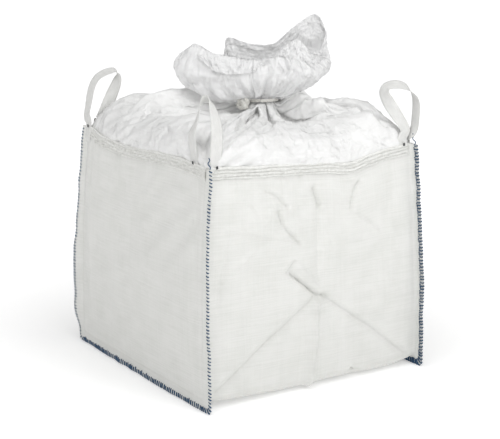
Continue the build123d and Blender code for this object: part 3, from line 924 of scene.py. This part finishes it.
def make_loop(name, corner, feet, crown):
    """One length of webbing, from its foot on one wall, over its crown, to its foot on the next."""
    base = np.array((*corner, 0.0))
    points = [base + np.array(p) @ VIEW_AXES for p, _ in crown]
    edges = [np.array(e) @ VIEW_AXES for _, e in crown]
    foot_heights = np.array((RIM - 0.030, RIM + 0.004, RIM + 0.026))
    first, last = (leg_points(*foot, foot_heights, WEB_THICKNESS * 0.5) for foot in feet)
    points = [*first, *points, *last[::-1]]
    edges = [outer_edge(*feet[0][:2])] * 3 + edges + [outer_edge(*feet[1][:2])] * 3
    loop = ribbon(f"loop_{name}_webbing", spline(points, 96), spline(edges, 96), WEB_WIDTH, WEB_THICKNESS, WEBBING)
    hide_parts(f"loop_{name}")
    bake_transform(loop)

    tacks = []
    for wall, along, face in feet:
        z = np.linspace(RIM + 0.006, RIM - SEWN_LENGTH * (1 if face < 0 else 1.25), 40)
        centre = leg_points(wall, along, face, z, WEB_THICKNESS * 1.5 if face < 0 else WEB_THICKNESS * 0.5)
        end = ribbon(f"loop_{name}_{wall}_end", centre, np.tile(outer_edge(wall, along), (40, 1)),
                     WEB_WIDTH, WEB_THICKNESS, WEBBING)
        attach(end, [f"loop_ends_{name}"])
        turns = np.linspace(0, 1, 61)
        zigzag = np.abs((turns * 15) % 2 - 1) * 2 - 1
        spot = along + 0.0045 * zigzag
        depth = RIM + 0.002 - 0.009 * (turns - 0.5)
        tacks.append(wall_point(wall, spot, depth, np.full(61, 0.0052 if face < 0 else 0.0100)))
    tack = tubes(f"bar_tacks_{name}_thread", np.stack(tacks), 0.0010, BLACK_YARN, 5)
    attach(tack, [f"bar_tacks_{name}"])


# ---------------------------------------------------------------- top of the bag, as one tube of cloth
COLUMNS = 320
TOP_ROWS = 60
SPOUT_ROWS = 50
SPOUT_GIRTH = 1.50
TOP_LENGTH = 0.54

# The spout's cloth round its tie, from the left by the front, right and back. Each station has a
# point of its belly, its fold line and its hem, as (right, away, height) from the neck, and the
# cloth from tie to hem.
SPOUT_STATIONS = (
    ((-0.306, 0.000, 1.090), (-0.286, -0.010, 1.185), (-0.280, -0.045, 1.160)),
    ((-0.262, -0.080, 1.066), (-0.246, -0.055, 1.216), (-0.232, -0.095, 1.165)),
    ((-0.185, -0.105, 1.054), (-0.180, -0.080, 1.186), (-0.168, -0.125, 1.122)),
    ((-0.110, -0.115, 1.064), (-0.108, -0.085, 1.173), (-0.106, -0.130, 1.114)),
    ((-0.040, -0.115, 1.070), (-0.045, -0.085, 1.162), (-0.045, -0.118, 1.118)),
    ((0.030, -0.105, 1.085), (0.015, -0.080, 1.163), (0.010, -0.100, 1.146)),
    ((0.095, -0.100, 1.090), (0.080, -0.078, 1.170), (0.073, -0.070, 1.196)),
    ((0.150, -0.085, 1.085), (0.125, -0.085, 1.165), (0.128, -0.068, 1.234)),
    ((0.205, -0.055, 1.085), (0.185, -0.068, 1.150), (0.172, -0.062, 1.202)),
    ((0.226, -0.030, 1.095), (0.228, -0.045, 1.152), (0.203, -0.050, 1.185)),
    ((0.232, 0.000, 1.105), (0.242, -0.010, 1.165), (0.224, -0.015, 1.198)),
    ((0.215, 0.040, 1.110), (0.245, 0.035, 1.200), (0.240, 0.030, 1.266)),
    ((0.150, 0.080, 1.120), (0.195, 0.060, 1.225), (0.203, 0.050, 1.318)),
    ((0.080, 0.095, 1.110), (0.115, 0.075, 1.190), (0.125, 0.060, 1.272)),
    ((0.020, 0.105, 1.095), (0.040, 0.090, 1.145), (0.045, 0.080, 1.206)),
    ((-0.040, 0.110, 1.090), (-0.045, 0.110, 1.140), (-0.045, 0.105, 1.204)),
    ((-0.100, 0.115, 1.085), (-0.112, 0.120, 1.150), (-0.127, 0.125, 1.224)),
    ((-0.150, 0.110, 1.080), (-0.150, 0.100, 1.125), (-0.140, 0.105, 1.165)),
    ((-0.230, 0.085, 1.085), (-0.200, 0.060, 1.160), (-0.190, 0.060, 1.150)),
    ((-0.290, 0.050, 1.085), (-0.255, 0.030, 1.195), (-0.235, 0.030, 1.165)),
)
FOLD_ROW = 30
HEM_ROWS = 8
SPOUT_PLEAT = 0.026
SPOUT_GROWTH = 1.05


# Folds on the near side of the spout, as (right, height) seen from the front, like the other tables.
SPOUT_FOLDS = (
    ((-0.290, 1.100), (-0.130, 1.108), 0.012, 0.009, 0.10),
    ((-0.270, 1.075), (-0.100, 1.085), -0.014, 0.012, 0.10),
    ((-0.235, 1.200), (-0.270, 1.120), 0.012, 0.010, 0.15),
    ((-0.285, 1.165), (-0.225, 1.135), -0.012, 0.009, 0.15),
    ((-0.230, 1.150), (-0.170, 1.125), 0.010, 0.008, 0.15),
    ((-0.090, 1.110), (-0.030, 1.030), 0.010, 0.010, 0.15),
    ((-0.045, 1.118), (-0.035, 1.020), -0.014, 0.007, 0.10),
    ((-0.010, 1.140), (-0.005, 1.020), 0.009, 0.010, 0.15),
    ((0.030, 1.150), (0.012, 1.020), -0.012, 0.008, 0.10),
    ((0.060, 1.180), (0.030, 1.020), 0.012, 0.010, 0.10),
    ((0.099, 1.146), (0.150, 1.225), 0.012, 0.007, 0.08),
    ((0.150, 1.225), (0.214, 1.176), 0.010, 0.007, 0.08),
    ((0.214, 1.176), (0.170, 1.097), 0.012, 0.008, 0.08),
    ((0.170, 1.097), (0.099, 1.146), 0.012, 0.007, 0.08),
    ((0.160, 1.160), (0.150, 1.150), -0.014, 0.024, 0.30),
    ((0.110, 1.120), (0.070, 1.040), 0.010, 0.009, 0.12),
    ((0.190, 1.090), (0.110, 1.035), -0.010, 0.010, 0.12),
)


def closed_spline(points, count):
    """Smooth closed curve through points, starting at the first."""
    p = np.array(points, float)
    t = np.arange(count) * len(p) / count
    i = t.astype(int)
    f = (t - i)[:, None]
    a, b, c, d = (p[(i + k) % len(p)] for k in (-1, 0, 1, 2))
    return 0.5 * (2 * b + (c - a) * f + (2 * a - 5 * b + 4 * c - d) * f**2
                  + (3 * b - a - 3 * c + d) * f**3)


def from_neck(points):
    """(right, away, height) points as seen from the front of the bag, to the row frame."""
    p = np.asarray(points, float)
    return np.array((*NECK, 0.0)) + p @ VIEW_AXES


def rim_ring():
    """Points along the inside of the rim, counter-clockwise from the front left corner."""
    spots = (np.arange(COLUMNS // 4) + 0.5) / (COLUMNS // 4) * 2 - 1
    x, y = spots * (HALF_X - 0.006), spots * (HALF_Y - 0.006)
    depth, inset = RIM - 0.018, np.full(len(spots), -0.006)
    z = np.full(len(spots), depth)
    walls = [wall_point("front", x, z, inset), wall_point("right", y, z, inset),
             wall_point("back", -x, z, inset), wall_point("left", -y, z, inset)]
    return np.concatenate(walls)


def neck_star(ring, height, rng):
    """The ring drawn in to the tie: pleats that turn in towards the middle."""
    angle = np.unwrap(np.arctan2(ring[:, 1] - NECK[1], ring[:, 0] - NECK[0]))
    angle = angle[0] + np.arange(COLUMNS) / COLUMNS * 2 * np.pi * 0.65 + (angle - angle[0]) * 0.35
    widths = []
    while sum(widths) < COLUMNS:
        widths.append(int(rng.choice((14, 16, 18, 20, 24))))
    widths[-1] -= sum(widths) - COLUMNS
    fold = np.concatenate([1 - abs(np.linspace(-1, 1, w, endpoint=False)) for w in widths])
    radius = TIE_HIGH.x - TIE_LOW.x
    outer = radius / 2 - 2 * TIE_RADIUS - 0.004
    depth = np.concatenate([np.full(w, rng.uniform(0.75, 1.0)) for w in widths])
    reach = outer * (1 - 0.72 * fold * depth)
    x, y = NECK[0] + reach * np.cos(angle), NECK[1] + reach * np.sin(angle)
    return np.stack([x, y, np.full(COLUMNS, height)], -1), fold


DOME_FOLDS = (
    ((0.10, -0.06), (0.19, -0.26), 0.055, 0.016, 0.12),
    ((0.075, -0.10), (0.155, -0.29), -0.050, 0.012, 0.12),
    ((-0.02, 0.00), (-0.36, 0.20), 0.045, 0.025, 0.12),
    ((-0.02, 0.06), (-0.33, 0.27), -0.030, 0.030, 0.15),
    ((-0.03, -0.05), (-0.20, -0.14), -0.045, 0.026, 0.15),
    ((0.00, -0.09), (-0.14, -0.24), 0.030, 0.020, 0.15),
    ((0.03, -0.10), (-0.03, -0.26), -0.030, 0.018, 0.15),
    ((0.30, -0.42), (0.27, -0.30), 0.030, 0.020, 0.2),
    ((0.35, -0.41), (0.32, -0.28), -0.025, 0.022, 0.2),
    ((0.22, -0.10), (0.42, -0.30), 0.028, 0.026, 0.2),
    ((0.14, 0.02), (0.36, 0.16), 0.035, 0.028, 0.2),
    ((0.10, 0.08), (0.20, 0.34), -0.030, 0.028, 0.2),
    ((0.02, 0.08), (-0.10, 0.36), 0.040, 0.028, 0.2),
)


def dome_folds(x, y):
    """The big folds of the top, seen in plan: a tuck to the front right, a ridge to the left."""
    return sum(crease(x, y, *fold) for fold in DOME_FOLDS)


def first_shape():
    """The tube before it settles, row by row from the rim to the hem, and its true cloth sizes."""
    rng = np.random.default_rng(5)
    ring = rim_ring()
    star, pleat = neck_star(ring, TIE_Z, rng)
    centre = np.array([NECK[0], NECK[1], 0])
    bearing = np.arctan2(ring[:, 1] - NECK[1], ring[:, 0] - NECK[0])
    rows = []
    for k in range(TOP_ROWS):
        v = k / TOP_ROWS
        inwards = smoothstep(0.06, 1.0, v) * 0.55 + 0.45 * v**1.5
        flat = ring * (1 - inwards) + star * inwards
        rise = np.interp(v, (0, 0.10, 0.24, 0.50, 0.74, 0.88, 1), (0, 0.060, 0.100, 0.118, 0.098, 0.104, 0.15))
        height = ring[:, 2] * (1 - inwards) + (TIE_Z - 0.15) * inwards + rise
        seen = (flat - (*NECK, 0)) @ VIEW_AXES.T
        behind = smoothstep(-0.08, 0.30, seen[:, 1]) + 0.6 * smoothstep(0.12, 0.34, abs(seen[:, 0]))
        height += 0.030 * np.clip(behind, 0, 1.2) * np.sin(np.pi * v)
        height -= 0.016 * pleat * smoothstep(0.45, 0.85, v) * smoothstep(1.0, 0.94, v)
        swell = np.sin(np.pi * v) ** 0.7
        folds = 0.010 * np.sin(11 * bearing + 5 * v) + 0.012 * np.sin(7 * bearing - 2 - 3 * v)
        rows.append(np.column_stack([flat[:, :2], height + folds * swell + dome_folds(flat[:, 0], flat[:, 1])]))
    stations = np.array([from_neck(s[:3]) for s in SPOUT_STATIONS])
    away = math.atan2(*(stations[0, 0] - centre)[1::-1])
    first = int(np.argmin(abs(np.angle(np.exp(1j * (bearing - away))))))
    belly, crest, hem = (np.roll(closed_spline(stations[:, k], COLUMNS), first, axis=0) for k in range(3))
    control = 2 * belly - (star + crest) / 2
    outwards = unit((belly - star) * (1, 1, 0))
    for k in range(SPOUT_ROWS + 1):
        if k <= FOLD_ROW:
            t = k / FOLD_ROW
            row = star * (1 - t)**2 + 2 * t * (1 - t) * control + crest * t**2
            row = row - outwards * (SPOUT_PLEAT * pleat * np.sin(np.pi * t**0.6) * (1 - t))[:, None]
            row[:, 2] -= 0.010 * smoothstep(0.03, -0.05, (belly - (*NECK, 0)) @ VIEW_AWAY) * np.sin(np.pi * t**0.5)
        else:
            t = (k - FOLD_ROW) / (SPOUT_ROWS - FOLD_ROW)
            row = crest * (1 - t) + hem * t
        rows.append(row)
    points = np.stack(rows)
    points[TOP_ROWS:, :, :2] += rng.normal(0, 0.0004, points[TOP_ROWS:, :, :2].shape)
    rim_girth = np.linalg.norm(np.roll(ring, -1, axis=0) - ring, axis=1).sum()
    v = np.minimum(np.arange(len(rows)) / TOP_ROWS, 1)
    across = (rim_girth * (1 - v) + SPOUT_GIRTH * v) / COLUMNS
    to_neck = np.hypot(*(ring - star)[:, :2].T)
    top_cloth = 0.5 * TOP_LENGTH + 0.5 * 1.10 * np.hypot(to_neck, 0.13)
    up = np.where(np.arange(len(rows) - 1)[:, None] < TOP_ROWS, top_cloth / TOP_ROWS, 0.34 / SPOUT_ROWS)
    return points, across, up


class Cloth:
    """A tube of cloth, as rings of points, that grows to its true size and settles in folds."""

    def __init__(self, points, across, up, held, shaped):
        self.shape = points.shape
        self.p = points.reshape(-1, 3).copy()
        self.q = self.p.copy()
        self.weight = np.where(held, 0.0, 1.0).reshape(-1, 1)
        self.shaped = shaped.reshape(-1)
        rows, columns = points.shape[:2]
        index = np.arange(rows * columns).reshape(rows, columns)
        row, column = np.indices(index.shape)
        self.links = []
        for step, slack, strength in ((1, 1.0, 0.9), (2, 0.85, 0.20), (4, 0.80, 0.16), (8, 0.74, 0.10)):
            rest = np.broadcast_to(across[:, None] * step * slack, index.shape)
            for colour in range(2):
                mask = (column // step) % 2 == colour
                self.link(index[mask], np.roll(index, -step, axis=1)[mask], rest[mask], strength, step > 1)
        for step, slack, strength in ((1, 1.0, 0.9), (2, 0.88, 0.20), (4, 0.84, 0.16), (8, 0.78, 0.10)):
            for colour in range(2):
                mask = ((row // step) % 2 == colour)[:-step]
                rest = np.stack([up[k:rows - 1 - (step - 1) + k] for k in range(step)]).sum(0) * slack
                rest = np.broadcast_to(rest, mask.shape)
                self.link(index[:-step][mask], index[step:][mask], rest[mask], strength, step > 1)
        for shift in (1, -1):
            for colour in range(2):
                mask = (row % 2 == colour)[:-1]
                rest = np.hypot(up, (across[:-1] + across[1:])[:, None] / 2)
                rest = np.broadcast_to(rest, mask.shape)
                other = np.roll(index, -shift, axis=1)[1:]
                self.link(index[:-1][mask], other[mask], rest[mask], 0.45, False)

    def link(self, a, b, rest, strength, only_push):
        first = np.linalg.norm(self.p[b] - self.p[a], axis=1)
        rest = np.where(self.shaped[a], first * (0.90 if only_push else SPOUT_GROWTH), rest)
        both = self.weight[a] + self.weight[b]
        share_a, share_b = self.weight[a] / np.maximum(both, 1), self.weight[b] / np.maximum(both, 1)
        self.links.append((a, b, first, rest, strength, only_push, share_a, share_b))

    def relax(self, growth):
        p = self.p
        for a, b, first, rest, strength, only_push, share_a, share_b in self.links:
            gap = p[b] - p[a]
            length = np.sqrt((gap * gap).sum(1))
            if only_push:
                error = np.minimum(length - rest * growth, 0)
            else:
                error = length - (first + (rest - first) * growth)
            move = gap * (strength * error / np.maximum(length, 1e-9))[:, None]
            p[a] += share_a * move
            p[b] -= share_b * move

    def normals(self):
        p = self.p.reshape(self.shape)
        around = np.roll(p, -1, axis=1) - np.roll(p, 1, axis=1)
        return unit(np.cross(around, np.gradient(p, axis=0))).reshape(-1, 3)


def settle_top():
    """Lets the top and spout grow to their cloth sizes under a little air and their own weight."""
    points, across, up = first_shape()
    rows = len(points)
    row = np.arange(rows)[:, None] * np.ones((1, COLUMNS), int)
    held = (row <= 1) | (abs(row - TOP_ROWS) <= 1)
    points[TOP_ROWS - 1], points[TOP_ROWS + 1] = points[TOP_ROWS], points[TOP_ROWS]
    points[TOP_ROWS - 1, :, 2] -= 0.008
    points[TOP_ROWS + 1, :, 2] += 0.008
    cloth = Cloth(points, across, up, held, row >= TOP_ROWS)
    top = row.reshape(-1, 1) < TOP_ROWS
    gravity = np.where(top, (0, 0, -0.00012), (0, 0, -0.00001))
    air = np.where(row < TOP_ROWS, 0.00020 * np.sin(np.pi * np.clip(row / TOP_ROWS, 0, 1)) ** 0.5, 0.00004)
    start = cloth.p.copy()
    hold = np.where(row.reshape(-1, 1) > TOP_ROWS, 0.06, 0.010)
    floor = np.where(top[:, 0], start[:, 2] - 0.05, TIE_Z - 0.012)
    steps = 150
    for step in range(steps):
        growth = smoothstep(0, 0.75 * steps, step)
        force = gravity + cloth.normals() * air.reshape(-1, 1)
        move = np.clip((cloth.p - cloth.q) * 0.94 + force, -0.008, 0.008) * cloth.weight
        cloth.q = cloth.p.copy()
        cloth.p = cloth.p + move
        cloth.p += (start - cloth.p) * hold
        for _ in range(3):
            cloth.relax(growth)
        cloth.p[:, 2] = np.maximum(cloth.p[:, 2], floor)
    points = cloth.p.reshape(points.shape)
    normal = cloth.normals().reshape(points.shape)
    column, free = np.arange(COLUMNS)[None, :], 1 - np.exp(-((row - TOP_ROWS) / 4.0) ** 2)
    free = free * smoothstep(1, 6, row)
    coarse = crumple(column * 40 / COLUMNS, row * 0.0095 / 0.085, 1.0, 91, 3, 40) - 0.6
    fine = crumple(column * 128 / COLUMNS, row * 0.0095 / 0.030, 1.0, 95, 2, 128) - 0.5
    scale = np.where(row < TOP_ROWS, 1.0, 1.15)
    points = points + normal * (free * scale * (0.0085 * coarse + 0.0024 * fine))[..., None]
    seen = (points - (*NECK, 0)) @ VIEW_AXES.T
    near = smoothstep(0.0, -0.03, seen[..., 1]) * (row > TOP_ROWS + 2) * smoothstep(SPOUT_ROWS, FOLD_ROW, row - TOP_ROWS)
    creases = sum(crease(seen[..., 0], seen[..., 2], *fold) for fold in SPOUT_FOLDS)
    points -= VIEW_AWAY * (near * creases)[..., None]
    points[..., 2] += np.where(row < TOP_ROWS, 0.9 * free * dome_folds(points[..., 0], points[..., 1]), 0)
    return points, across, up


def make_top():
    points, across, up = settle_top()
    run = np.concatenate([[0], np.cumsum(up.mean(1))])
    girth = np.cumsum(np.ones(COLUMNS)) * across[0]
    uvs = np.stack(np.broadcast_arrays(girth[None, :], run[:, None]), -1)
    closed = np.concatenate([points, points[:, :1]], axis=1)
    uvs = np.concatenate([uvs, uvs[:, -1:] + (across[0], 0)], axis=1)
    top = cloth_piece("skirt_cloth", closed[:TOP_ROWS + 1], uvs[:TOP_ROWS + 1], COATED, 0.0009, offset=0)
    attach(top, ["skirt"])
    spout = cloth_piece("duffle_end_cloth", closed[TOP_ROWS:], uvs[TOP_ROWS:], SPOUT_CLOTH, 0.0009, offset=0)
    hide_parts("duffle_end")
    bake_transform(spout)
    hem = cloth_piece("duffle_hem_cloth", closed[-HEM_ROWS:], uvs[-HEM_ROWS:], SPOUT_CLOTH, 0.0032, offset=0)
    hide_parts("duffle_hem")
    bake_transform(hem)


def make_tie():
    turns = np.linspace(0, 2, 120)
    angle = turns * 2 * np.pi
    reach = (TIE_HIGH.x - TIE_LOW.x) / 2 - TIE_RADIUS
    x, y = NECK[0] + reach * np.cos(angle), NECK[1] + reach * np.sin(angle)
    z = TIE_LOW.z + TIE_RADIUS + (TIE_HIGH.z - TIE_LOW.z - 2 * TIE_RADIUS) * turns / 2
    tie = tubes("neck_tie_cord", [np.stack([x, y, z], -1)], TIE_RADIUS, TIE_YARN, 10)
    attach(tie, ["neck_tie"])
    centre = (np.array(KNOT_LOW) + np.array(KNOT_HIGH)) / 2
    t = np.linspace(0, 1, 90)
    turn = t * 2 * np.pi * 2
    size = (KNOT_HIGH.x - KNOT_LOW.x) / 2 - 0.0040
    centre = centre - 0.014 * VIEW_AWAY - (0, 0, 0.009)
    inwards = unit(np.array((*NECK, centre[2])) - centre)
    sideways = np.array((-inwards[1], inwards[0], 0.0))
    lift = np.array((0.0, 0.0, 1.0))
    knot = (centre + size * np.sin(turn)[:, None] * sideways + size * np.cos(turn * 1.5)[:, None] * lift
            + 0.6 * size * np.cos(turn * 2.5)[:, None] * inwards)
    attach(tubes("tie_knot_cord", [knot], 0.0095, TIE_YARN, 10), ["tie_knot"])


make_folded_panel()
for panel_side, panel_name in ((-1, "left"), (1, "right")):
    make_side_panel(panel_side, panel_name)
    make_seam_binding(panel_side, panel_name)
    make_thread_tail(panel_side, panel_name)
    make_seam_stitches(panel_side, panel_name)
for rim_wall, rim_half in RIM_WALLS:
    make_rim(rim_wall, rim_half)
for loop_name, (loop_corner, loop_feet, loop_crown) in LOOPS.items():
    make_loop(loop_name, loop_corner, loop_feet, loop_crown)
make_top()
make_tie()
